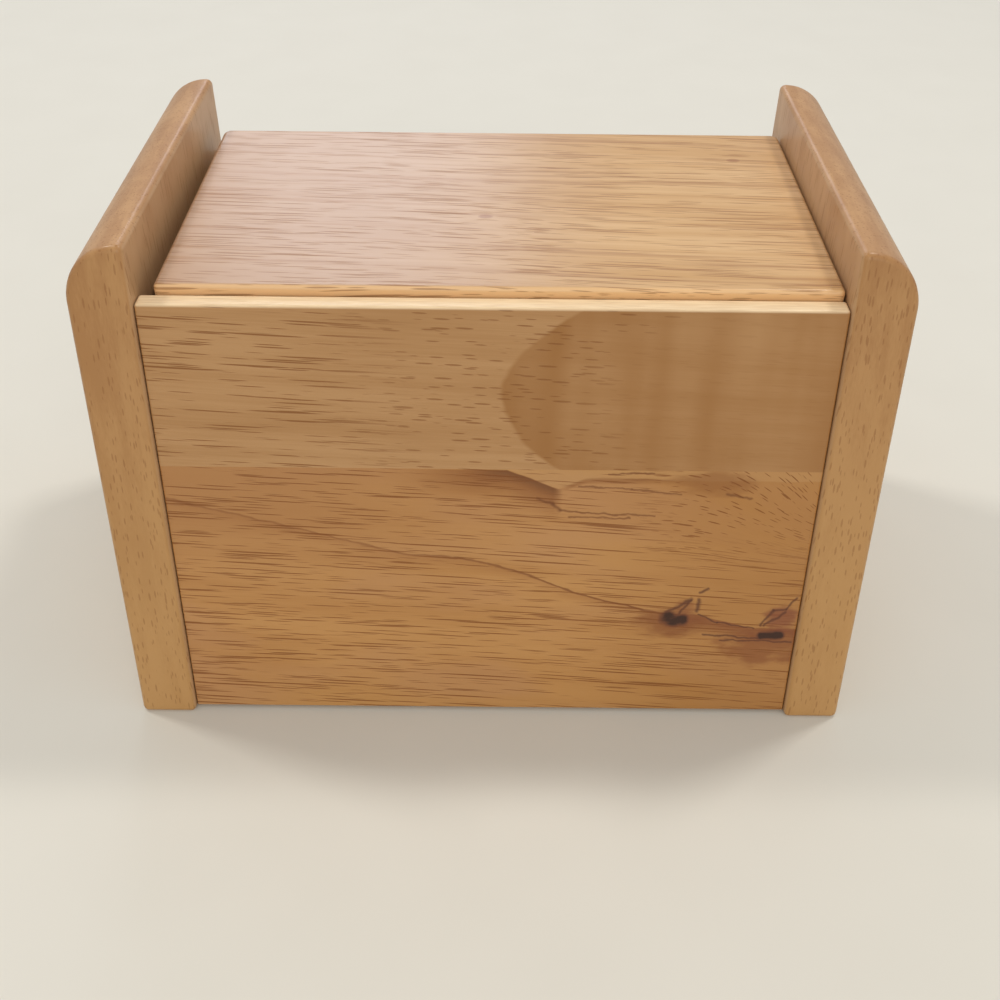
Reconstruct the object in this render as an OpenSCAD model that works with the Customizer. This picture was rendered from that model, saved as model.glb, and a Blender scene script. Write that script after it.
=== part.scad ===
// Recipe card box: two thick sides with rounded tops, an upright back panel and a front panel that leans
// back, each glued up from two boards, a bottom held in grooves, and a flat lid on two small butt hinges.
// X runs from left to right, Y from front to back and Z up. The origin is on the table, under the middle.

/* [Space for the cards] */
// Width between the two sides
inner_w = 135.5; // [130:0.5:180]
// Depth between the front and the back panel, just under the lid
inner_d = 66; // [55:0.2:120]
// Height from the bottom panel up to the lid
inner_h = 83.4; // [79:0.1:130]

/* [Sides] */
// Thickness of a side
side_t = 12.2; // [11:0.1:18]
// How far the sides rise above the lid
side_rise = 9.7; // [4:0.1:16]
// Radius of the rounded outer top edge of a side
crown_r = 11; // [8:0.2:16]
// Radius of the eased edges of a side
side_ease = 1.2; // [0.5:0.1:2]

/* [Front and back panels] */
// Thickness of the front and back panels
panel_t = 10; // [9:0.5:14]
// How far the front panel and the sides' front edges lean back, in degrees
front_lean = 10; // [0:0.5:14]
// How far the front panel lies behind the front edges of the sides
front_setback = 1.2; // [0:0.1:4]
// How far the back panel lies in front of the back edges of the sides
back_setback = 0.5; // [0:0.1:2]
// How far the panels' lower edges are above the table
panel_lift = 0.8; // [0:0.1:4]
// Height of the glue line between a panel's two boards, measured along the panel
glue_line = 64; // [50:0.2:68]
// Thickness of the front panel's lip at its top
lip_t = 3.9; // [2.6:0.1:5]
// Radius of the panels' eased edges
panel_ease = 0.6; // [0.5:0.1:1.2]
// Radius of the lip's two upper corners, seen from the front
lip_corner_r = 0.8; // [0.5:0.1:4]

/* [Lid] */
// Thickness of the lid
lid_t = 8; // [7.6:0.2:12]
// How far the lid's top stands above the lip
lid_proud = 1.8; // [0:0.1:4]
// Gap between the left side and the lid
left_gap = 2.9; // [0.3:0.1:6]
// Gap between the lid and the right side
right_gap = 0.3; // [0.3:0.1:6]
// Gap between the lip and the lid
lip_gap = 0.4; // [0.3:0.1:2]
// Radius of the lid's rounded upper edges
lid_ease = 0.9; // [0.5:0.1:2.5]
// Radius of the lid's eased lower edges
lid_under_ease = 0.7; // [0.3:0.1:1]
// Radius of the lid's two front corners, seen from above
lid_front_corner_r = 1; // [0.5:0.1:5]
// Radius of the lid's two back corners, seen from above
lid_back_corner_r = 2; // [0.5:0.1:5]

/* [Bottom] */
// Thickness of the bottom panel
bottom_t = 3; // [2.5:0.5:5]
// How far the bottom panel lies above the lower edges of the front and back panels
bottom_lift = 3.5; // [2.5:0.5:6]
// Depth of the grooves for the bottom panel
groove_depth = 3.5; // [2.5:0.5:4]
// Play of the bottom panel in its grooves, above it and at each end
groove_play = 0.2; // [0.1:0.1:0.5]

/* [Dowels] */
// Diameter of a dowel
dowel_d = 5; // [4:0.5:6]
// Length of a dowel
dowel_len = 20; // [16:1:24]
// How deep a dowel sits in a side
dowel_in_side = 7.5; // [6:0.5:9]
// Distance from a board's edge to the nearest dowel
dowel_edge = 15; // [12:0.5:20]
// Play around a dowel, filled with glue
dowel_play = 0.05; // [0.02:0.01:0.1]
// Room for glue past each end of a dowel
dowel_end_play = 0.5; // [0.2:0.1:1]

/* [Hinges] */
// Length of a hinge along its pin
hinge_len = 21; // [18:1:32]
// Distance from the lid's end to its hinge
hinge_inset = 17; // [8:1:25]
// Width of a leaf from the pin's centre to its edge
leaf_w = 5; // [4.8:0.1:5.4]
// Thickness of a leaf
leaf_t = 0.8; // [0.6:0.1:1]
// Outer diameter of a knuckle
knuckle_d = 2.8; // [2.6:0.1:3.2]
// Length of a hinge's middle knuckle, which belongs to the lid
mid_knuckle_len = 7.6; // [5:0.2:10]
// Diameter of a hinge pin
pin_d = 1.5; // [1.2:0.1:1.6]
// Play around a pin in its knuckles
pin_play = 0.05; // [0.02:0.01:0.1]
// Gap between neighbouring knuckles
knuckle_gap = 0.2; // [0.1:0.1:0.5]
// Gap between a leaf and the other leaf's knuckles
notch_gap = 0.3; // [0.2:0.1:0.5]
// Bare wood between a leaf and the back face of the back panel
leaf_margin = 0.3; // [0:0.1:2]

/* [Screws] */
// Diameter of a screw's shank
screw_d = 1.6; // [1.4:0.1:1.8]
// Diameter of a screw's head
head_d = 2.8; // [2.4:0.1:2.9]
// Length of a screw
screw_len = 8; // [6:0.5:10]
// Length of a screw's point
screw_point = 1.6; // [1:0.2:2.4]
// Distance from a leaf's end to the middle of its nearest screw
screw_inset = 4; // [3:0.5:5]
// Play around a screw in the wood
screw_play = 0.02; // [0.01:0.01:0.05]
// Room past a screw's point
screw_end_play = 0.5; // [0.2:0.1:1]
// Width of the slots of a cross recess
recess_w = 0.4; // [0.3:0.1:0.5]
// Length of the slots of a cross recess
recess_len = 1.6; // [1.2:0.1:1.8]
// Depth of a cross recess
recess_depth = 0.4; // [0.3:0.1:0.5]

/* [Hidden] */
$fn = 64;

bottom_z = panel_lift + bottom_lift;
groove_h = bottom_t + groove_play;
seat_z = bottom_z + bottom_t + inner_h;
lid_top_z = seat_z + lid_t;
lip_top_z = lid_top_z - lid_proud;
side_h = lid_top_z + side_rise;

lean_cos = cos(front_lean);
lean_tan = tan(front_lean);
front_t = panel_t / lean_cos;
front_base = front_setback / lean_cos;
side_d = front_base + seat_z * lean_tan + front_t + inner_d + panel_t + back_setback;
foot_y = -side_d / 2;
back_y = side_d / 2 - back_setback;
lip_front_y = foot_y + front_base + lip_top_z * lean_tan;
lip_back_y = lip_front_y + lip_t;
groove_front_y = foot_y + front_base + bottom_z * lean_tan + front_t - groove_depth;
groove_back_y = back_y - panel_t + groove_depth;

knuckle_r = knuckle_d / 2;
lid_left_x = -inner_w / 2 + left_gap;
lid_right_x = inner_w / 2 - right_gap;
lid_front_y = lip_back_y + lip_gap;
lid_back_y = back_y - leaf_margin - leaf_w - knuckle_r;
lid_w = lid_right_x - lid_left_x;
lid_d = lid_back_y - lid_front_y;

pin_y = lid_back_y + knuckle_r;
pin_z = seat_z + knuckle_r;
notch_r = knuckle_r + notch_gap;
screw_reach = (notch_r + leaf_w) / 2;
screw_x = hinge_len / 2 - screw_inset;
screw_xs = [-screw_x, screw_x];
head_h = (head_d - screw_d) / 2;
left_hinge_x = lid_left_x + hinge_inset + hinge_len / 2;
right_hinge_x = lid_right_x - hinge_inset - hinge_len / 2;
hinge_xs = [left_hinge_x, right_hinge_x];
mid_half = mid_knuckle_len / 2;
end_knuckle_len = hinge_len / 2 - mid_half - knuckle_gap;

dowel_heights = [panel_lift + dowel_edge, glue_line - dowel_edge, (glue_line + seat_z) / 2];
dowel_x = inner_w / 2 + dowel_in_side - dowel_len / 2;
dowel_hole_len = dowel_len + 2 * dowel_end_play;

side_wood = "#c8935a";
front_wood = "#cf9c62";
lower_wood = "#c18a4e";
lid_wood = "#d8ae84";
ply_wood = "#d9c096";
dowel_wood = "#dcc29a";
brass = "#c9a349";
steel = "#b9b4a6";

// Waste outside a rounded corner at the origin, between the X axis and a line at the given angle to it
module corner_waste(r, angle = 90) {
    reach = r / tan(angle / 2);
    difference() {
        polygon([[reach, r], [reach, -1], [-1 / tan(angle / 2), -1],
                 [reach * cos(angle) - sin(angle), reach * sin(angle) + cos(angle)]]);
        translate([reach, r]) circle(r);
    }
}

// Rectangle from the origin, with a radius for each corner: near the origin, then anticlockwise
module eased_rect(w, h, radii) {
    difference() {
        square([w, h]);
        if (radii[0] > 0) corner_waste(radii[0]);
        if (radii[1] > 0) translate([w, 0]) mirror([1, 0]) corner_waste(radii[1]);
        if (radii[2] > 0) translate([w, h]) mirror([1, 0]) mirror([0, 1]) corner_waste(radii[2]);
        if (radii[3] > 0) translate([0, h]) mirror([0, 1]) corner_waste(radii[3]);
    }
}

// Extrudes an outline drawn in Y and Z along X, centred
module along_x(length) {
    translate([-length / 2, 0, 0]) rotate([90, 0, 90]) linear_extrude(length) children();
}

// Extrudes an outline drawn in X and Z along Y, centred
module along_y(length) {
    translate([0, length / 2, 0]) rotate([90, 0, 0]) linear_extrude(length) children();
}

// Frame of the leaning front: the sides' front edges are in its XZ plane, Z runs up along them
module leaning() {
    translate([0, foot_y, 0]) rotate([-front_lean, 0, 0]) children();
}

// Middle of the front panel's thickness, and of the back panel's
module in_front_panel() {
    leaning() translate([0, front_setback + panel_t / 2, 0]) children();
}

module in_back_panel() {
    translate([0, back_y - panel_t / 2, 0]) children();
}

// Rods along X at the dowels' places in a panel's right end
module rods(length, d) {
    for (z = dowel_heights) {
        translate([dowel_x, 0, z]) rotate([0, 90, 0]) cylinder(h = length, d = d, center = true);
    }
}

module dowel_holes() {
    rods(dowel_hole_len, dowel_d + 2 * dowel_play);
}

// Right side, seen from the front: inner face on the left, rounded crown on the right
module side_outline() {
    difference() {
        eased_rect(side_t, side_h, [side_ease, side_ease, 0, side_ease]);
        translate([side_t, side_h]) mirror([1, 0]) mirror([0, 1]) corner_waste(crown_r);
    }
}

// Right side, seen from its right: leaning front edge, upright back edge, eased lower corners
module side_profile() {
    difference() {
        polygon([[foot_y, 0], [-foot_y, 0], [-foot_y, side_h], [foot_y + side_h * lean_tan, side_h]]);
        translate([foot_y, 0]) corner_waste(side_ease, 90 - front_lean);
        translate([-foot_y, 0]) mirror([1, 0]) corner_waste(side_ease);
    }
}

module side_panel() {
    difference() {
        intersection() {
            translate([inner_w / 2, 0, 0]) along_y(side_d + side_t) side_outline();
            translate([inner_w / 2 + side_t / 2, 0, 0]) along_x(2 * side_t) side_profile();
            translate([inner_w / 2, foot_y - side_t, -side_t]) linear_extrude(side_h + 2 * side_t)
                eased_rect(side_t, side_d + side_t, [0, 0, side_ease, side_ease]);
            leaning() translate([inner_w / 2, 0, -side_ease]) linear_extrude(side_h + side_d)
                eased_rect(side_t, side_d + side_h, [side_ease, side_ease, 0, 0]);
        }
        translate([0, groove_front_y, bottom_z])
            cube([inner_w / 2 + groove_depth, groove_back_y - groove_front_y, groove_h]);
        in_front_panel() dowel_holes();
        in_back_panel() dowel_holes();
    }
}

module right_side() {
    color(side_wood) side_panel();
}

module left_side() {
    color(side_wood) mirror([1, 0, 0]) side_panel();
}

// Front panel seen from its right end: lip in front, ledge for the lid behind it, groove below
module front_outline() {
    lower_y = foot_y + front_base + panel_lift * lean_tan;
    ledge_y = foot_y + front_base + seat_z * lean_tan + front_t;
    difference() {
        polygon([[lower_y, panel_lift], [lower_y + front_t, panel_lift], [ledge_y, seat_z],
                 [lip_back_y, seat_z], [lip_back_y, lip_top_z], [lip_front_y, lip_top_z]]);
        translate([lower_y, panel_lift]) corner_waste(panel_ease, 90 - front_lean);
        translate([ledge_y, seat_z]) mirror([1, 0]) mirror([0, 1]) corner_waste(panel_ease, 90 - front_lean);
        translate([lip_front_y, lip_top_z]) mirror([0, 1]) corner_waste(panel_ease, 90 + front_lean);
        translate([lip_back_y, lip_top_z]) mirror([1, 0]) mirror([0, 1]) corner_waste(panel_ease);
        translate([groove_front_y, bottom_z]) square([front_t + groove_depth, groove_h]);
    }
}

// A board of the front panel, from z0 up to z1 along the panel
module front_board(z0, z1) {
    difference() {
        intersection() {
            along_x(inner_w + panel_t) front_outline();
            leaning() translate([-inner_w / 2, front_setback, z0]) linear_extrude(z1 - z0)
                eased_rect(inner_w, panel_t, [panel_ease, panel_ease, 0, 0]);
        }
        in_front_panel() dowel_holes();
        mirror([1, 0, 0]) in_front_panel() dowel_holes();
    }
}

module front_lower_board() {
    color(lower_wood) front_board(-panel_t, glue_line);
}

module front_upper_board() {
    color(front_wood) intersection() {
        front_board(glue_line, lip_top_z + panel_t);
        along_y(side_d) translate([-inner_w / 2, 0])
            eased_rect(inner_w, lip_top_z, [0, 0, lip_corner_r, lip_corner_r]);
    }
}

// Back panel seen from its right end: a plain upright board with a groove
module back_outline() {
    difference() {
        translate([back_y - panel_t, panel_lift])
            eased_rect(panel_t, seat_z - panel_lift, [0, panel_ease, panel_ease, panel_ease]);
        translate([groove_back_y - panel_t, bottom_z]) square([panel_t, groove_h]);
    }
}

// A board of the back panel, from z0 up to z1
module back_board(z0, z1) {
    difference() {
        intersection() {
            along_x(inner_w) back_outline();
            translate([-inner_w / 2, back_y - panel_t, z0]) linear_extrude(z1 - z0)
                eased_rect(inner_w, panel_t, [0, 0, panel_ease, panel_ease]);
        }
        in_back_panel() dowel_holes();
        mirror([1, 0, 0]) in_back_panel() dowel_holes();
    }
}

module back_lower_board() {
    color(lower_wood) back_board(panel_lift, glue_line);
}

module back_upper_board() {
    color(front_wood) difference() {
        back_board(glue_line, seat_z);
        at_hinges() leaf_screw_holes();
    }
}

module bottom_panel() {
    color(ply_wood)
        translate([-inner_w / 2 - groove_depth + groove_play, groove_front_y + groove_play, bottom_z])
            cube([inner_w + 2 * (groove_depth - groove_play),
                  groove_back_y - groove_front_y - 2 * groove_play, bottom_t]);
}

module lid() {
    edge_radii = [lid_under_ease, lid_under_ease, lid_ease, lid_ease];
    corner_radii = [lid_front_corner_r, lid_front_corner_r, lid_back_corner_r, lid_back_corner_r];
    color(lid_wood) difference() {
        intersection() {
            translate([(lid_left_x + lid_right_x) / 2, lid_front_y, seat_z])
                along_x(lid_w) eased_rect(lid_d, lid_t, edge_radii);
            translate([lid_left_x, (lid_front_y + lid_back_y) / 2, seat_z])
                along_y(lid_d) eased_rect(lid_w, lid_t, edge_radii);
            translate([lid_left_x, lid_front_y, seat_z])
                linear_extrude(lid_t) eased_rect(lid_w, lid_d, corner_radii);
        }
        at_hinges() swing_up() leaf_screw_holes();
    }
}

// Dowels at both ends of a panel
module dowels() {
    rods(dowel_len, dowel_d);
    mirror([1, 0, 0]) rods(dowel_len, dowel_d);
}

module front_dowels() {
    color(dowel_wood) in_front_panel() dowels();
}

module back_dowels() {
    color(dowel_wood) in_back_panel() dowels();
}

// Places children at both hinges, with the pin's middle at their origin
module at_hinges() {
    for (x = hinge_xs) {
        translate([x, pin_y, pin_z]) children();
    }
}

// Turns a leaf that lies behind the pin into one that stands above it
module swing_up() {
    mirror([0, 1, -1]) children();
}

// Places children at a leaf's two screws, with the top of the head at their origin
module at_leaf_screws() {
    for (x = screw_xs) {
        translate([x, screw_reach, leaf_t - knuckle_r]) children();
    }
}

module leaf_screw_holes() {
    hole_len = screw_len + screw_end_play;
    at_leaf_screws() translate([0, 0, -hole_len])
        cylinder(h = hole_len, d = screw_d + 2 * screw_play);
}

// Cylinder along X from x0 to x1, on the pin's axis
module round_along_x(x0, x1, r) {
    translate([x0, 0, 0]) rotate([0, 90, 0]) cylinder(h = x1 - x0, r = r);
}

// Room in a leaf for the other leaf's knuckles, from x0 to x1
module leaf_notch(x0, x1) {
    translate([x0 - knuckle_gap, -notch_r, -notch_r])
        cube([x1 - x0 + 2 * knuckle_gap, 2 * notch_r, 2 * notch_r]);
}

module leaf_plate() {
    translate([-hinge_len / 2, 0, -knuckle_r]) cube([hinge_len, leaf_w, leaf_t]);
}

// Bore for the pin and countersunk holes for the screws
module leaf_bores() {
    round_along_x(-hinge_len, hinge_len, pin_d / 2 + pin_play);
    at_leaf_screws() {
        translate([0, 0, -head_h]) cylinder(h = head_h, d1 = screw_d, d2 = head_d);
        translate([0, 0, -2 * leaf_t]) cylinder(h = 2 * leaf_t, d = screw_d + 2 * screw_play);
    }
}

// Leaf on the back panel, with the two outer knuckles
module box_leaf() {
    color(brass) difference() {
        union() {
            difference() {
                leaf_plate();
                leaf_notch(-mid_half, mid_half);
            }
            round_along_x(-hinge_len / 2, -hinge_len / 2 + end_knuckle_len, knuckle_r);
            round_along_x(hinge_len / 2 - end_knuckle_len, hinge_len / 2, knuckle_r);
        }
        leaf_bores();
    }
}

// Leaf on the lid, with the middle knuckle
module lid_leaf() {
    color(brass) swing_up() difference() {
        union() {
            difference() {
                leaf_plate();
                leaf_notch(-hinge_len, -mid_half - 2 * knuckle_gap);
                leaf_notch(mid_half + 2 * knuckle_gap, hinge_len);
            }
            round_along_x(-mid_half, mid_half, knuckle_r);
        }
        leaf_bores();
    }
}

module hinge_pin() {
    color(brass) round_along_x(-hinge_len / 2, hinge_len / 2, pin_d / 2);
}

module left_hinge_box_leaf() {
    translate([left_hinge_x, pin_y, pin_z]) box_leaf();
}

module left_hinge_lid_leaf() {
    translate([left_hinge_x, pin_y, pin_z]) lid_leaf();
}

module left_hinge_pin() {
    translate([left_hinge_x, pin_y, pin_z]) hinge_pin();
}

module right_hinge_box_leaf() {
    translate([right_hinge_x, pin_y, pin_z]) box_leaf();
}

module right_hinge_lid_leaf() {
    translate([right_hinge_x, pin_y, pin_z]) lid_leaf();
}

module right_hinge_pin() {
    translate([right_hinge_x, pin_y, pin_z]) hinge_pin();
}

// Countersunk screw with a cross recess, pointing down from the top of its head
module screw() {
    difference() {
        union() {
            translate([0, 0, -head_h]) cylinder(h = head_h, d1 = screw_d, d2 = head_d);
            translate([0, 0, screw_point - screw_len])
                cylinder(h = screw_len - screw_point - head_h, d = screw_d);
            translate([0, 0, -screw_len]) cylinder(h = screw_point, d1 = 0, d2 = screw_d);
        }
        for (turn = [0, 90]) {
            rotate([0, 0, turn]) cube([recess_len, recess_w, 2 * recess_depth], center = true);
        }
    }
}

module box_leaf_screws() {
    color(steel) at_hinges() at_leaf_screws() screw();
}

module lid_leaf_screws() {
    color(steel) at_hinges() swing_up() at_leaf_screws() screw();
}

left_side();
right_side();
front_upper_board();
front_lower_board();
back_upper_board();
back_lower_board();
bottom_panel();
lid();
front_dowels();
back_dowels();
left_hinge_box_leaf();
left_hinge_lid_leaf();
left_hinge_pin();
right_hinge_box_leaf();
right_hinge_lid_leaf();
right_hinge_pin();
box_leaf_screws();
lid_leaf_screws();
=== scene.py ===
import math
import bmesh
import bpy
from mathutils import Matrix, Vector


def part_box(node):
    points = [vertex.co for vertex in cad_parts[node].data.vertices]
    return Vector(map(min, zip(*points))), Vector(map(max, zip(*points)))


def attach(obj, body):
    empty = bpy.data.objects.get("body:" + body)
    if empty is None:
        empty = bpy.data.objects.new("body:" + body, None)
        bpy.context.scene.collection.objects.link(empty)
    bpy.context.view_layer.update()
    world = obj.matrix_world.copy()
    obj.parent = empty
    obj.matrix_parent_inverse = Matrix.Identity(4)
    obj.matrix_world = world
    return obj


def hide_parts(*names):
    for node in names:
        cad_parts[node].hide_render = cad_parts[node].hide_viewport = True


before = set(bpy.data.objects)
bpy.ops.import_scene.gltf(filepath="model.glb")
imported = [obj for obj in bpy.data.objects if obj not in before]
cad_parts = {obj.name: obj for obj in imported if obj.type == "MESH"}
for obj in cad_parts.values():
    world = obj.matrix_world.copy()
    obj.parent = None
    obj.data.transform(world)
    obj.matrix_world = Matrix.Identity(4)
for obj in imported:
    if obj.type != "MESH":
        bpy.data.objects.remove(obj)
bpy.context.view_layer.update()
MM = 0.001

# The camera, where the photographer held it: about 30 cm from the box, looking down on the lid
# and the leaning front. It is turned a touch, as a camera held in the hand is.
camera_data = bpy.data.cameras.new("camera")
camera_data.sensor_width = 36
camera_data.lens = 41.165
camera = bpy.data.objects.new("camera", camera_data)
bpy.context.collection.objects.link(camera)
look_right = Vector((0.99995396, 0.00482545, 0.00829469))
look_up = Vector((-0.00944799, 0.64638433, 0.76295349))
look_back = Vector((-0.00167996, -0.76299673, 0.64640016))
camera.matrix_world = Matrix((look_right, look_up, look_back)).transposed().to_4x4()
camera.matrix_world.translation = Vector((1.39, -221.257, 208.509)) * MM
bpy.context.scene.camera = camera


# The two sides: thick rubberwood boards that stand on the table, with the grain upright. The outer top
# edge is a full round, the front edge leans back, and every other edge is eased with sandpaper.
side_inner_x = 67.75 * MM
side_t = 12.2 * MM
side_h = 108.4 * MM
side_half_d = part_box("right_side")[1].y
crown_r = 11 * MM
crown_facets = 24
edge_ease = 1.2 * MM
# The inner top edge is a little rounder than the edges that meet it, so that their roundings don't cross.
top_ease = 1.35 * MM
top_ease_facets = 4
lean = math.radians(10)


def sharp_edges(bm, least=30):
    return [edge for edge in bm.edges if edge.calc_face_angle(0) > math.radians(least)]


def new_piece(name, bm, node, body, material):
    """Makes a mesh object of bm that stands for a CAD node and moves with its body."""
    bmesh.ops.recalc_face_normals(bm, faces=bm.faces)
    for face in bm.faces:
        face.smooth = True
    for edge in sharp_edges(bm, 40):
        edge.smooth = False
    mesh = bpy.data.meshes.new(name)
    bm.to_mesh(mesh)
    bm.free()
    mesh.materials.append(material)
    piece = bpy.data.objects.new(name, mesh)
    bpy.context.collection.objects.link(piece)
    weighted = piece.modifiers.new("even shading", "WEIGHTED_NORMAL")
    weighted.keep_sharp = True
    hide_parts(node)
    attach(piece, body)
    return piece


def plane_off(bm, point, normal):
    """Planes the wood away on the far side of a flat cut."""
    everything = bm.verts[:] + bm.edges[:] + bm.faces[:]
    bmesh.ops.bisect_plane(bm, geom=everything, plane_co=point, plane_no=normal, clear_outer=True)
    open_edges = [edge for edge in bm.edges if edge.is_boundary]
    bmesh.ops.holes_fill(bm, edges=open_edges, sides=0)


def round_over(bm, edges, radius, steps=4):
    bmesh.ops.bevel(bm, geom=edges, offset=radius, offset_type="OFFSET", affect="EDGES",
                    segments=steps, profile=0.5, material=-1)


class Value:
    """A number, colour or vector in a finish. Arithmetic on numbers adds Math nodes."""

    def __init__(self, finish, socket):
        self.finish = finish
        self.socket = socket

    def math(self, operation, *others):
        return self.finish.node("Math", {"operation": operation}, dict(enumerate((self,) + others)))

    def __add__(self, other):
        return self.math("ADD", other)

    def __radd__(self, other):
        return self.math("ADD", other)

    def __sub__(self, other):
        return self.math("SUBTRACT", other)

    def __rsub__(self, other):
        return self.finish.node("Math", {"operation": "SUBTRACT"}, {0: other, 1: self})

    def __mul__(self, other):
        return self.math("MULTIPLY", other)

    def __rmul__(self, other):
        return self.math("MULTIPLY", other)

    def __truediv__(self, other):
        return self.math("DIVIDE", other)

    def squared(self):
        return self * self

    def rise(self, low, high):
        """0 below low, 1 above high and smooth between them."""
        return self.finish.node("MapRange", {"interpolation_type": "SMOOTHSTEP"},
                                {"Value": self, "From Min": low, "From Max": high})

    def fall(self, low, high):
        return 1 - self.rise(low, high)


class Finish:
    """A material and its nodes. Places are in millimetres."""

    def __init__(self, name):
        self.material = bpy.data.materials.new(name)
        self.material.use_nodes = True
        self.tree = self.material.node_tree
        self.tree.nodes.clear()
        place = self.node("TexCoord", output="Object")
        self.place = self.node("VectorMath", {"operation": "SCALE"}, {0: place, "Scale": 1000})
        self.x = self.node("SeparateXYZ", {}, {0: self.place}, "X")
        self.y = self.node("SeparateXYZ", {}, {0: self.place}, "Y")
        self.z = self.node("SeparateXYZ", {}, {0: self.place}, "Z")

    def node(self, kind, settings=None, inputs=None, output=0):
        node = self.tree.nodes.new("ShaderNode" + kind)
        for name, value in (settings or {}).items():
            setattr(node, name, value)
        for name, value in (inputs or {}).items():
            if isinstance(value, Value):
                self.tree.links.new(value.socket, node.inputs[name])
            else:
                node.inputs[name].default_value = value
        return node if output is None else Value(self, node.outputs[output])

    def vector(self, x, y, z):
        return self.node("CombineXYZ", {}, {0: x, 1: y, 2: z})

    def moved(self, place, shift):
        return self.node("VectorMath", {"operation": "ADD"}, {0: place, 1: shift})

    def noise(self, place, size, detail=1.0, roughness=0.5):
        """Soft noise; size is the x, y and z size of its blobs in millimetres."""
        scaled = self.node("VectorMath", {"operation": "DIVIDE"}, {0: place, 1: size})
        return self.node("TexNoise", {}, {"Vector": scaled, "Scale": 1.0, "Detail": detail,
                                          "Roughness": roughness})

    def mix(self, factor, a, b):
        return self.node("Mix", {"data_type": "RGBA"}, {0: factor, 6: a, 7: b}, 2)

    def surface(self, colour, roughness, height, depth_mm, **sockets):
        """Ends the finish: a Principled surface with a bump of the given depth."""
        bump = self.node("Bump", {}, {"Height": height, "Distance": depth_mm * MM, "Strength": 1.0},
                         "Normal")
        inputs = {"Base Color": colour, "Roughness": roughness, "Normal": bump}
        inputs.update(sockets)
        shader = self.node("BsdfPrincipled", {}, inputs)
        self.node("OutputMaterial", {}, {"Surface": shader}, None)
        return self.material


class Wood(Finish):
    """Wood, mostly rubberwood: a cloudy tone with soft bands and fibres along the grain, and open
    pores that show as thin brown dashes along the grain and as dots on the ends."""

    def __init__(self, name, grain, shift, wave=2.0):
        super().__init__(name)
        self.grain = grain
        start = self.moved(self.place, shift)
        sway = (self.noise(start, self.sizes(90, 26)) - 0.5) * wave
        self.flow = self.moved(start, self.vector(*(0.0 if axis == grain else sway for axis in "xyz")))

    def sizes(self, along, across):
        return tuple(along if axis == self.grain else across for axis in "xyz")

    def tone(self, light, dark, band=3.0, low=0.38, high=0.62):
        cloud = self.noise(self.flow, self.sizes(55, 15))
        bands = self.noise(self.flow, self.sizes(150, band), 2.0)
        self.fibres = self.noise(self.flow, self.sizes(13, 0.3), 1.0)
        return self.mix((cloud * 0.42 + bands * 0.4 + self.fibres * 0.18).rise(low, high), light, dark)

    def pores(self, length, width, size, flocking=0.12):
        """The open tubes that the surface cuts: up to 1 in the pores, 0 beside them. There is about one in
        each stretch of the given length and width, and a larger size makes them longer and wider."""
        flocks = self.noise(self.flow, self.sizes(length * 2, 5.0))
        spacing = self.sizes(length, width)
        scaled = self.node("VectorMath", {"operation": "DIVIDE"}, {0: self.flow, 1: spacing})
        cells = self.node("TexVoronoi", {}, {"Vector": scaled, "Scale": 1.0}, None)
        chance = Value(self, cells.outputs["Color"]) * 0.25
        away = Value(self, cells.outputs["Distance"]) + chance + (flocks - 0.5) * flocking
        return away.fall(size - 0.1, size)

    def lacquered(self, colour, pores, roughness=0.34):
        """Ends the finish as wood under a satin lacquer that sinks a little into the pores."""
        height = 1 - pores * 0.5 - self.fibres * 0.1
        coat = 0.12 - pores * 0.12
        return self.surface(colour, pores * 0.2 + self.fibres * 0.08 + roughness, height, 0.03,
                            **{"Coat Weight": coat, "Coat Roughness": 0.2})


def side_wood(name, shift):
    wood = Wood(name, "z", shift, 3.0)
    colour = wood.tone((0.49, 0.258, 0.094, 1), (0.41, 0.198, 0.064, 1), 2.6)
    # Toward the foot the wood is painted lighter and more golden: painted bounce light from the table.
    colour = wood.mix(wood.z.fall(20, 95) * 0.5, colour, (0.56, 0.31, 0.10, 1))
    # The inner face is painted paler and pinker: painted lamp light falling on it.
    inside = wood.x.math("ABSOLUTE").fall(side_inner_x / MM + 0.1, side_inner_x / MM + 0.5)
    colour = wood.mix(inside * 0.4, colour, (0.60, 0.42, 0.26, 1))
    # The crown cuts across the grain, with darker growth rings. Behind the front edge it carries a painted
    # highlight.
    crown = wood.z.rise((side_h - crown_r) / MM, side_h / MM)
    behind_front = wood.y - wood.z * math.tan(lean) + side_half_d / MM
    colour = wood.mix(crown * behind_front.rise(0.6, 1.6) * 0.25, colour, (0.68, 0.40, 0.21, 1))
    rings = wood.noise(wood.flow, (2.4, 12, 30), 2.0)
    colour = wood.mix(crown * rings.rise(0.42, 0.62) * 0.4, colour, (0.36, 0.16, 0.05, 1))
    pores = wood.pores(8, 0.65, 0.41) * 0.4
    colour = wood.mix(pores, colour, (0.24, 0.085, 0.015, 1))
    return wood.lacquered(colour, pores, 0.4)


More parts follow.
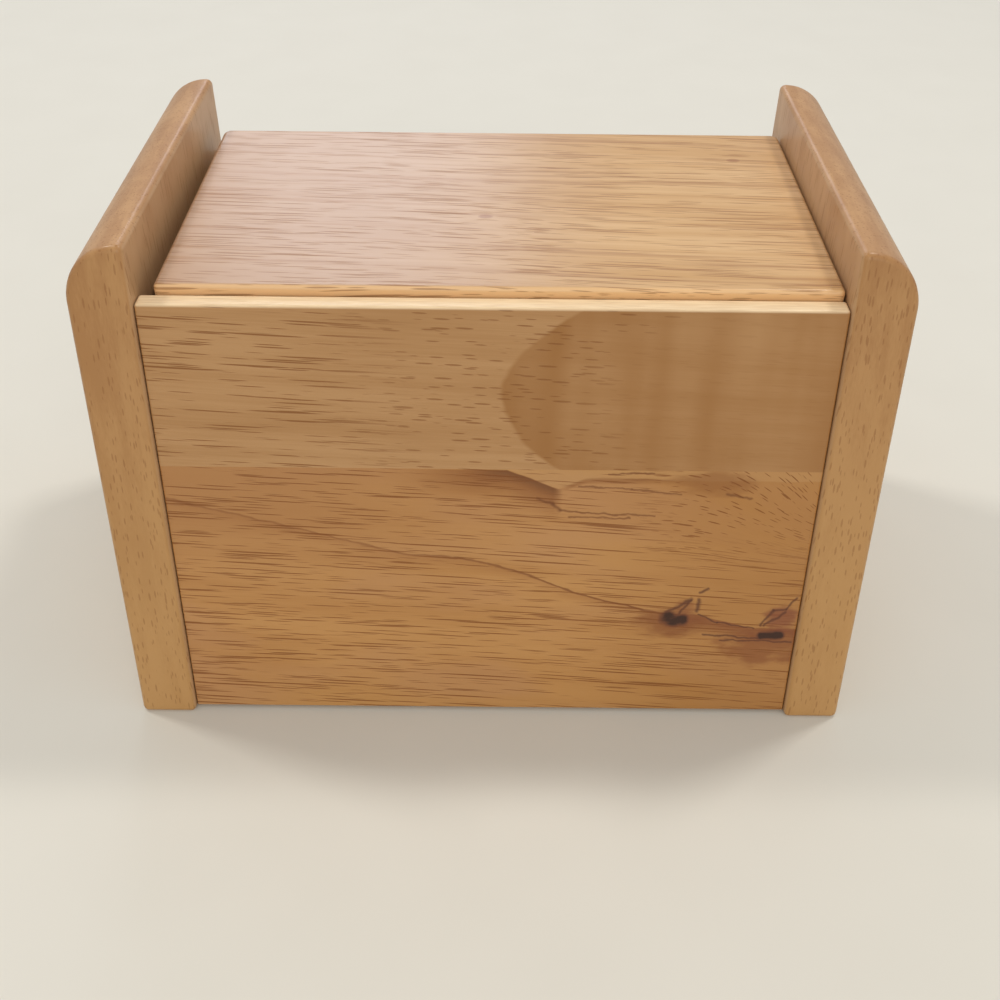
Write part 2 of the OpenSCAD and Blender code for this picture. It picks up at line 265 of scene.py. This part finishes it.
def side_mesh(sign):
    """A side on the right (sign 1) or on the left (sign -1)."""
    bm = bmesh.new()
    bmesh.ops.create_cube(bm, size=1.0)
    bmesh.ops.scale(bm, vec=(side_t, 2 * side_half_d + side_t, side_h), verts=bm.verts)
    bmesh.ops.translate(bm, vec=(side_inner_x + side_t / 2, -side_t / 2, side_h / 2), verts=bm.verts)
    plane_off(bm, (0, -side_half_d, 0), (0, -math.cos(lean), math.sin(lean)))
    crown_centre = Vector((side_inner_x + side_t - crown_r, 0, side_h - crown_r))
    for step in range(crown_facets):
        angle = math.radians(90) * (step + 0.5) / crown_facets
        out = Vector((math.cos(angle), 0, math.sin(angle)))
        plane_off(bm, crown_centre + out * crown_r, out)
    ease_centre = Vector((side_inner_x + top_ease, 0, side_h - top_ease))
    for step in range(top_ease_facets):
        angle = math.radians(90) * (step + 1) / (top_ease_facets + 1)
        out = Vector((-math.cos(angle), 0, math.sin(angle)))
        plane_off(bm, ease_centre + out * top_ease, out)
    round_over(bm, sharp_edges(bm), edge_ease)
    if sign < 0:
        bmesh.ops.scale(bm, vec=(-1, 1, 1), verts=bm.verts)
    return bm


new_piece("left_side_board", side_mesh(-1), "left_side", "box",
          side_wood("left side wood", (13, 7, 40)))
new_piece("right_side_board", side_mesh(1), "right_side", "box",
          side_wood("right side wood", (81, 5, 11)))


# The front panel: two rubberwood boards glued edge to edge, with the grain across. It leans back with
# the sides' front edges. A thin lip stands up in front of the lid, whose front rests on the ledge behind.
panel_half_w = 67.75 * MM
panel_t = 10 * MM
panel_lift = 0.8 * MM
front_setback = 1.2 * MM
glue_line = 64 * MM
seat_z = 90.7 * MM
lip_top_z = 96.9 * MM
lip_t = 3.9 * MM
panel_ease = 0.55 * MM
lip_corner_r = 0.8 * MM
front_base_y = -side_half_d + front_setback / math.cos(lean)
front_t = panel_t / math.cos(lean)


def front_face_y(z):
    return front_base_y + z * math.tan(lean)


def board_from_end(outline):
    """A board as wide as the space between the sides, from its outline in Y and Z."""
    bm = bmesh.new()
    corners = [bm.verts.new((-panel_half_w, y, z)) for y, z in outline]
    end = bm.faces.new(corners)
    pulled = bmesh.ops.extrude_face_region(bm, geom=[end])
    moved = [item for item in pulled["geom"] if isinstance(item, bmesh.types.BMVert)]
    bmesh.ops.translate(bm, vec=(2 * panel_half_w, 0, 0), verts=moved)
    return bm


def edges_at(bm, test):
    return [edge for edge in bm.edges if all(test(vert.co) for vert in edge.verts)]


def not_along_x(edges):
    return [edge for edge in edges if abs(edge.verts[0].co.x - edge.verts[1].co.x) < 1e-6]


# The glue line runs square through the leaning panel.
glue_front_z = glue_line * math.cos(lean) - front_setback * math.sin(lean)
glue_back_z = glue_front_z - panel_t * math.sin(lean)


def on_front_end(co):
    return abs(co.y - front_face_y(co.z)) < 1e-5 and abs(co.x) > panel_half_w - 1e-5


upper = board_from_end([
    (front_face_y(glue_front_z), glue_front_z),
    (front_face_y(glue_back_z) + front_t, glue_back_z),
    (front_face_y(seat_z) + front_t, seat_z),
    (front_face_y(lip_top_z) + lip_t, seat_z),
    (front_face_y(lip_top_z) + lip_t, lip_top_z),
    (front_face_y(lip_top_z), lip_top_z)])
round_over(upper, not_along_x(edges_at(upper, lambda co: co.z > lip_top_z - 1e-6)), lip_corner_r, 5)
ledge_back_y = front_face_y(seat_z) + front_t


def in_the_corner(edge):
    """True for the inner corner between the lip and the ledge, which stays sharp."""
    return all(abs(vert.co.z - seat_z) < 1e-6 and vert.co.y < ledge_back_y - 1e-5 for vert in edge.verts)


eased = [edge for edge in sharp_edges(upper, 25) if not in_the_corner(edge)
         and all(vert.co.z > glue_front_z + 0.5 * MM for vert in edge.verts)]
round_over(upper, list(set(eased + not_along_x(edges_at(upper, on_front_end)))), panel_ease)

lower = board_from_end([
    (front_face_y(panel_lift), panel_lift),
    (front_face_y(panel_lift) + front_t, panel_lift),
    (front_face_y(glue_back_z) + front_t, glue_back_z),
    (front_face_y(glue_front_z), glue_front_z)])
foot = edges_at(lower, lambda co: abs(co.y - front_face_y(co.z)) < 1e-5 and co.z < glue_front_z - 1e-6)
round_over(lower, list(set(foot + not_along_x(edges_at(lower, on_front_end)))), panel_ease)

# The colour of the painted shade in the thin gap where a front board meets a side.
gap_shade_colour = (0.08, 0.012, 0.004, 1)


def painted_gap_shade(wood):
    """Painted shade of the thin gap between a panel's end and the side, darker on the left."""
    end = wood.x.math("ABSOLUTE").rise(panel_half_w / MM - 0.32, panel_half_w / MM - 0.12)
    return end * (wood.x.fall(0, 1) * 0.3 + 0.6)


def upper_board_wood():
    wood = Wood("front upper board wood", "x", (30, 0, 17))
    wood.flow = wood.moved(wood.flow, wood.vector(0, 0, wood.x * 0.05))
    colour = wood.tone((0.51, 0.28, 0.115, 1), (0.435, 0.222, 0.078, 1), 4.0)
    # Long pores at the left end get shorter toward the middle.
    left = wood.x.fall(-38, -8)
    long_pores = wood.pores(28, 0.6, 0.43, 0.25).math("MAXIMUM", wood.pores(14, 0.45, 0.38))
    short_pores = wood.pores(6, 0.65, 0.41)
    pores = long_pores * left + short_pores * (1 - left)
    # The right half is heartwood: darker behind a curved rim, cloudy in upright bands and almost
    # without pores.
    rim_x = ((wood.z - 78.5) / 16).squared() * 12 + 1.7
    wobble = wood.noise(wood.place, (9, 9, 6), 2.0)
    inside = wood.x - rim_x + (wobble - 0.5) * 3
    heart = inside.rise(-0.5, 0.9)
    rim = heart * inside.fall(3, 15)
    upright = wood.noise(wood.place, (7, 30, 60))
    stain = heart * 0.55 + rim * 0.25 + heart * (upright - 0.5) * 1.2
    colour = wood.mix(stain, colour, (0.345, 0.148, 0.032, 1))
    pores = pores * (inside.fall(10, 26) * 0.85 + 0.15) * (left * 0.15 + 0.65)
    colour = wood.mix(pores, colour, (0.22, 0.07, 0.004, 1))
    # The top of the lip is planed across a pale ring, and carries a painted highlight on top of it.
    pale_ring_and_highlight = wood.z.rise(lip_top_z / MM - 0.6, lip_top_z / MM - 0.05) * (wood.fibres * 0.7 + 0.5)
    colour = wood.mix(pale_ring_and_highlight, colour, (0.94, 0.72, 0.45, 1))
    # Painted shade in the gap at the board's ends.
    colour = wood.mix(painted_gap_shade(wood), colour, gap_shade_colour)
    return wood.lacquered(colour, pores)


def lower_board_wood():
    wood = Wood("front lower board wood", "x", (-55, 0, 3))
    x, z = wood.x, wood.z
    # The grain sinks to the right, and fans out downward in the upper right corner.
    past = (x - 38).math("MAXIMUM", 0)
    fan = past.squared() / 60 * z.rise(36, 56)
    wood.flow = wood.moved(wood.flow, wood.vector(0, 0, x * 0.06 + fan))
    colour = wood.tone((0.545, 0.272, 0.083, 1), (0.475, 0.220, 0.058, 1), 4.0)
    blush = wood.noise(wood.moved(wood.flow, (70, 0, 9)), (44, 30, 13))
    colour = wood.mix(blush.rise(0.45, 0.65) * 0.5, colour, (0.50, 0.25, 0.105, 1))
    short = x.rise(26, 42) * z.rise(38, 50)
    pores = wood.pores(32, 0.5, 0.43, 0.3).math("MAXIMUM", wood.pores(16, 0.38, 0.39))
    pores = pores * (1 - short) + wood.pores(5, 0.55, 0.42) * short
    colour = wood.mix(x.fall(-50, 20) * z.rise(25, 60) * 0.75, colour, (0.42, 0.19, 0.06, 1))
    colour = wood.mix(x.rise(10, 60) * 0.7, colour, (0.42, 0.185, 0.04, 1))

    # What follows is drawn on slightly crumpled paper, so that no line is a ruled one.
    rough = wood.noise(wood.place, (6, 6, 2.4), 3.0) - 0.5
    crumple_x = x + (wood.noise(wood.place, (2.4, 9, 2.4), 2.0) - 0.5) * 1.4
    crumple_z = z + (wood.noise(wood.moved(wood.place, (40, 0, 0)), (2.4, 9, 2.4), 2.0) - 0.5) * 1.2

    def stroke(x0, z0, x1, z1, half_w):
        """1 on the line between two points of the board's face, 0 from half_w away from it."""
        run = x1 - x0
        climb = z1 - z0
        dx = crumple_x - x0
        dz = crumple_z - z0
        share = (dx * run + dz * climb) / (run * run + climb * climb)
        along = share.math("MAXIMUM", 0).math("MINIMUM", 1)
        away = ((dx - along * run).squared() + (dz - along * climb).squared()).math("SQRT")
        return away.fall(0, half_w)

    def cloud(centre_x, centre_z, half_w, half_h, crumbling=1.6):
        """1 in the middle of an oval with uneven edges, 0 outside it."""
        return (((x - centre_x) / half_w).squared() + ((z - centre_z) / half_h).squared()
                + rough * crumbling).fall(0.1, 1.1)

    # A reddish growth line comes down from the left end to the first knot.
    line_z = x.squared().fall(0, 330) * 2.2 - x * 0.264 + 37.6 + rough * 1.6
    above = z - line_z
    ends = x.fall(37, 41)
    line = above.rise(-0.45, -0.05) * above.fall(0.05, 0.4) * (x.rise(-40, 30) * 0.4 + 0.4)
    shade = above.rise(-3, 0) * above.fall(0, 0.3) * ends
    colour = wood.mix(shade * 0.28, colour, (0.30, 0.10, 0.015, 1))
    colour = wood.mix(line * ends, colour, (0.19, 0.05, 0.003, 1))

    # Dark wood lies under the glue line on the left of a dip, and a pale wedge on the right of it.
    dip = (x - 3.2).math("MAXIMUM", 0).math("MINIMUM", 10.6) * 0.42 - x.rise(14, 20) * 2.1
    under = 62.9 - dip + rough * 0.7 - z
    left = x.fall(12.5, 15)
    dark = under.rise(0, 0.4) * under.fall(1.5, 9) * left * x.rise(-24, 0)
    colour = wood.mix(dark * 0.8, colour, (0.27, 0.085, 0.01, 1))
    darkest = under.rise(0, 0.3) * under.fall(0.3, 3.2) * left * x.rise(-6, 4)
    colour = wood.mix(darkest * 0.7, colour, (0.15, 0.045, 0.004, 1))
    colour = wood.mix(under.fall(-0.2, 0.1) * 0.45, colour, (0.54, 0.30, 0.115, 1))
    ridge = under.rise(-0.7, -0.1) * under.fall(0.2, 1.1) * x.rise(13.5, 17) * x.fall(26, 48)
    colour = wood.mix(ridge * 0.55, colour, (0.25, 0.08, 0.008, 1))
    # A brown cloud below the wedge and one behind each knot, and the pores over them.
    colour = wood.mix(cloud(46, 60, 10, 3.6) * 0.6, colour, (0.26, 0.085, 0.01, 1))
    colour = wood.mix(cloud(40, 25, 9, 4.6) * 0.8, colour, (0.24, 0.07, 0.01, 1))
    colour = wood.mix(cloud(61, 19, 11.5, 6.4, 2.4) * 0.75, colour, (0.25, 0.07, 0.012, 1))
    colour = wood.mix(pores * 0.8, colour, (0.21, 0.058, 0.002, 1))
    folds = ((24, 62, 33, 62.2, 0.4), (18, 59.2, 29, 58.5, 0.35), (29, 58.5, 39, 57.3, 0.35),
             (9.4, 56, 12.8, 54.9, 0.6), (12.6, 55.2, 14, 53.3, 0.8), (14, 53.3, 34, 52.1, 0.4),
             (16, 51.9, 29, 51.6, 0.35), (48.5, 57.7, 53.5, 56.6, 0.5))
    for fold in folds:
        colour = wood.mix(stroke(*fold) * 0.75, colour, (0.17, 0.048, 0.004, 1))

    # Two knots low on the right. Brown wood lies round them and below the line that joins them.
    join_z = 27.6 - (x - 45).math("MAXIMUM", 0) * 0.27 + (x - 58).math("MAXIMUM", 0) * 0.27
    below = join_z - z + rough * 0.6
    shade = below.rise(0, 0.35) * below.fall(0.8, 5.5) * x.rise(36, 44)
    colour = wood.mix(shade * 0.75, colour, (0.23, 0.06, 0.01, 1))
    # Curled bark: red-brown wood with dark folds.
    colour = wood.mix(cloud(42.6, 28.8, 3.4, 2.6) * 0.55, colour, (0.24, 0.065, 0.016, 1))
    colour = wood.mix(cloud(64, 26.5, 4.4, 4.0, 2.4) * 0.75, colour, (0.22, 0.05, 0.016, 1))
    bark = ((38.5, 28.2, 43.5, 31.4, 0.75), (41.2, 27.8, 43.5, 31.2, 0.5),
            (45.2, 28.4, 45.4, 31.4, 0.65), (45.4, 33.2, 47, 34.3, 0.5),
            (45.4, 27.5, 50, 25.4, 0.35), (50, 25.4, 58, 24, 0.35),
            (47, 22.2, 60, 21.2, 0.4), (51, 20.8, 67, 20.3, 0.4),
            (59.6, 25, 62, 28.8, 0.6), (62, 28.8, 64.6, 29, 0.55),
            (64.6, 29, 66.4, 32, 0.45), (60.5, 24.8, 64.5, 28.2, 0.6))
    for fold in bark:
        colour = wood.mix(stroke(*fold) * 0.8, colour, (0.09, 0.018, 0.003, 1))
    # The dark hearts of the knots have ragged edges.
    hearts = stroke(38.9, 26.6, 40.2, 25.9, 2.8).math("MAXIMUM", stroke(40, 25.9, 42.2, 26, 2.3))
    hearts = hearts.math("MAXIMUM", stroke(60, 22, 64, 22.2, 1.9)) * (rough * 2 + 1)
    colour = wood.mix(hearts.rise(0.0, 0.45) * 0.7, colour, (0.13, 0.03, 0.007, 1))
    hearts = hearts.rise(0.3, 0.8)
    colour = wood.mix(hearts * 0.92, colour, (0.032, 0.008, 0.002, 1))
    # Painted shade in the gap at the board's ends.
    colour = wood.mix(painted_gap_shade(wood), colour, gap_shade_colour)
    return wood.lacquered(colour, (pores + hearts).math("MINIMUM", 1))


new_piece("front_upper_panel", upper, "front_upper_board", "box", upper_board_wood())
new_piece("front_lower_panel", lower, "front_lower_board", "box", lower_board_wood())


# The back panel, made like the front but upright and without a lip. Its boards keep the frame's shape.
def plain_panel_wood(name, shift):
    wood = Wood(name, "x", shift)
    colour = wood.tone((0.52, 0.27, 0.095, 1), (0.445, 0.215, 0.065, 1), 4.0)
    pores = wood.pores(26, 0.55, 0.43) * 0.75
    colour = wood.mix(pores, colour, (0.23, 0.07, 0.006, 1))
    return wood.lacquered(colour, pores)


def refinish(node, material):
    """Gives a CAD node that keeps its shape its finish."""
    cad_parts[node].material_slots[0].material = material


refinish("back_upper_board", plain_panel_wood("back upper board wood", (210, 0, 55)))
refinish("back_lower_board", plain_panel_wood("back lower board wood", (-140, 0, 90)))


# The bottom: a thin sheet of pale plywood in grooves, sanded but not lacquered, with its face grain across.
def plywood():
    wood = Wood("bottom plywood", "x", (5, 120, 0), 6.0)
    colour = wood.tone((0.66, 0.47, 0.28, 1), (0.55, 0.36, 0.19, 1), 9.0)
    sheet_low_z = 4.3
    sheet_t = 3
    layers = ((wood.z - sheet_low_z) / sheet_t * 3 * math.pi).math("SINE").rise(-0.2, 0.2)
    edge = wood.y.math("ABSOLUTE").rise(30, 60) * 0.2
    colour = wood.mix(layers * edge, colour, (0.42, 0.26, 0.12, 1))
    pores = wood.pores(9, 0.7, 0.36) * 0.4
    colour = wood.mix(pores, colour, (0.36, 0.2, 0.09, 1))
    return wood.surface(colour, wood.fibres * 0.15 + 0.62, 1 - pores - wood.fibres * 0.3, 0.04)


refinish("bottom_panel", plywood())


# The dowels: turned beech, glued into the ends of the panels and into the sides.
def beech():
    wood = Wood("dowel beech", "x", (0, 0, 300), 0.6)
    colour = wood.tone((0.62, 0.44, 0.26, 1), (0.53, 0.35, 0.18, 1), 0.8)
    flecks = wood.pores(3, 0.5, 0.4) * 0.6
    colour = wood.mix(flecks, colour, (0.36, 0.2, 0.09, 1))
    return wood.surface(colour, wood.fibres * 0.1 + 0.55, 1 - flecks, 0.03)


dowel_finish = beech()
refinish("front_dowels", dowel_finish)
refinish("back_dowels", dowel_finish)


# The lid: one flat rubberwood board that lies between the sides, its grain across the box. Its upper edges
# are rounded over more than its lower ones, and its corners are rounded in plan.
lid_front_corner_r = 1 * MM
lid_back_corner_r = 2 * MM
lid_ease = 0.9 * MM
lid_under_ease = 0.7 * MM
lid_low, lid_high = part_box("lid")

lid_bm = bmesh.new()
bmesh.ops.create_cube(lid_bm, size=1.0)
bmesh.ops.scale(lid_bm, vec=lid_high - lid_low, verts=lid_bm.verts)
bmesh.ops.translate(lid_bm, vec=(lid_low + lid_high) / 2, verts=lid_bm.verts)
for corner_y, corner_r in ((lid_low.y, lid_front_corner_r), (lid_high.y, lid_back_corner_r)):
    round_over(lid_bm, not_along_x(edges_at(lid_bm, lambda co: abs(co.y - corner_y) < 1e-6)), corner_r, 6)
round_over(lid_bm, edges_at(lid_bm, lambda co: co.z > lid_high.z - 1e-6), lid_ease, 6)
round_over(lid_bm, edges_at(lid_bm, lambda co: co.z < lid_low.z + 1e-6), lid_under_ease, 3)


def lid_wood():
    wood = Wood("lid wood", "x", (17, 60, 0), 5.0)
    wood.flow = wood.moved(wood.flow, wood.vector(0, wood.x * 0.05, 0))
    colour = wood.tone((0.72, 0.46, 0.225, 1), (0.60, 0.345, 0.14, 1), 2.2, 0.36, 0.64)
    # The left half carries a painted rosy reflection, and the front edge a painted golden highlight.
    painted_sheen = wood.x.fall(-30, 35)
    colour = wood.mix(painted_sheen * 0.75, colour, (0.49, 0.305, 0.20, 1))
    streaks = wood.noise(wood.flow, (80, 1.6, 30), 3.0)
    colour = wood.mix(streaks.rise(0.5, 0.68) * 0.6, colour, (0.43, 0.215, 0.085, 1))
    # The painted highlight on the rounded front edge.
    edge = wood.y.fall(lid_low.y / MM + 0.3, lid_low.y / MM + 0.9)
    colour = wood.mix(edge * 0.8, colour, (0.90, 0.57, 0.28, 1))
    pores = wood.pores(28, 0.6, 0.44, 0.3).math("MAXIMUM", wood.pores(14, 0.45, 0.38)) * 0.6
    colour = wood.mix(pores, colour, (0.28, 0.11, 0.03, 1))
    # Two pin knots.
    for knot_x, knot_y in ((-1.8, 0.4), (54.6, 29.7)):
        knot = ((wood.x - knot_x) / 1.5).squared() + ((wood.y - knot_y) / 0.9).squared()
        colour = wood.mix(knot.fall(0.3, 1.6) * 0.6, colour, (0.33, 0.13, 0.05, 1))
    return wood.lacquered(colour, pores, 0.3)


new_piece("lid_board", lid_bm, "lid", "lid", lid_wood())


# The hinges: two small butt hinges of rolled brass with brass-plated countersunk screws.
def brass(name, grain, colour, worn, shine):
    metal = Finish(name)
    sizes = tuple(6.0 if axis == grain else 0.12 for axis in "xyz")
    brushed = metal.noise(metal.place, sizes, 2.0)
    tarnish = metal.noise(metal.place, (2.2, 2.2, 2.2), 3.0)
    mixed = metal.mix(tarnish.rise(0.45, 0.7) * 0.6, colour, worn)
    return metal.surface(mixed, brushed * 0.16 + tarnish * 0.12 + shine, brushed, 0.008, Metallic=1.0)


leaf_brass = brass("leaf brass", "x", (0.70, 0.48, 0.17, 1), (0.50, 0.31, 0.10, 1), 0.18)
pin_brass = brass("pin brass", "x", (0.74, 0.53, 0.21, 1), (0.55, 0.36, 0.13, 1), 0.12)
screw_brass = brass("screw brass", "y", (0.76, 0.56, 0.24, 1), (0.58, 0.40, 0.16, 1), 0.16)
for hinge_side in ("left", "right"):
    refinish(hinge_side + "_hinge_box_leaf", leaf_brass)
    refinish(hinge_side + "_hinge_lid_leaf", leaf_brass)
    refinish(hinge_side + "_hinge_pin", pin_brass)
refinish("box_leaf_screws", screw_brass)
refinish("lid_leaf_screws", screw_brass)


# The table and the light: a pale tabletop, two soft lamps above and behind the box, a large one in front,
# and a soft panel behind the box on the left that gives the lid its sheen.
floor_bm = bmesh.new()
bmesh.ops.create_grid(floor_bm, x_segments=1, y_segments=1, size=3.0)
floor_mesh = bpy.data.meshes.new("table")
floor_bm.to_mesh(floor_mesh)
floor_bm.free()
table = bpy.data.objects.new("table", floor_mesh)
bpy.context.collection.objects.link(table)
table_finish = Finish("table")
mottle = table_finish.noise(table_finish.place, (30, 30, 30), 2.0)
table_colour = table_finish.mix(mottle, (0.765, 0.74, 0.665, 1), (0.735, 0.71, 0.635, 1))
floor_mesh.materials.append(table_finish.surface(table_colour, mottle * 0.05 + 0.8, mottle, 0.02))

world = bpy.data.worlds.new("studio")
bpy.context.scene.world = world
world.use_nodes = True
world.node_tree.nodes["Background"].inputs["Color"].default_value = (0.98, 0.99, 1.0, 1)
world.node_tree.nodes["Background"].inputs["Strength"].default_value = 0.53


def soft_lamp(name, place, target, size, power, colour):
    data = bpy.data.lights.new(name, "AREA")
    data.shape = "SQUARE"
    data.size = size
    data.energy = power
    data.color = colour
    lamp = bpy.data.objects.new(name, data)
    bpy.context.collection.objects.link(lamp)
    lamp.location = place
    lamp.rotation_euler = (Vector(target) - Vector(place)).to_track_quat("-Z", "Y").to_euler()
    return lamp


middle = (0, 0, 0.05)
soft_lamp("lamp on the right", (0.47, 0.38, 1.15), middle, 0.14, 3.6, (1, 0.97, 0.93))
soft_lamp("lamp on the left", (-0.67, 0.385, 1.15), middle, 0.14, 3.7, (1, 0.97, 0.92))
soft_lamp("lamp in front", (0.1, -1.05, 0.7), middle, 0.9, 4.3, (1, 0.93, 0.8))
soft_lamp("sheen panel", (-0.22, 1.45, 0.82), middle, 0.5, 2.6, (0.84, 0.88, 1.0))

bpy.context.scene.view_settings.view_transform = "Standard"
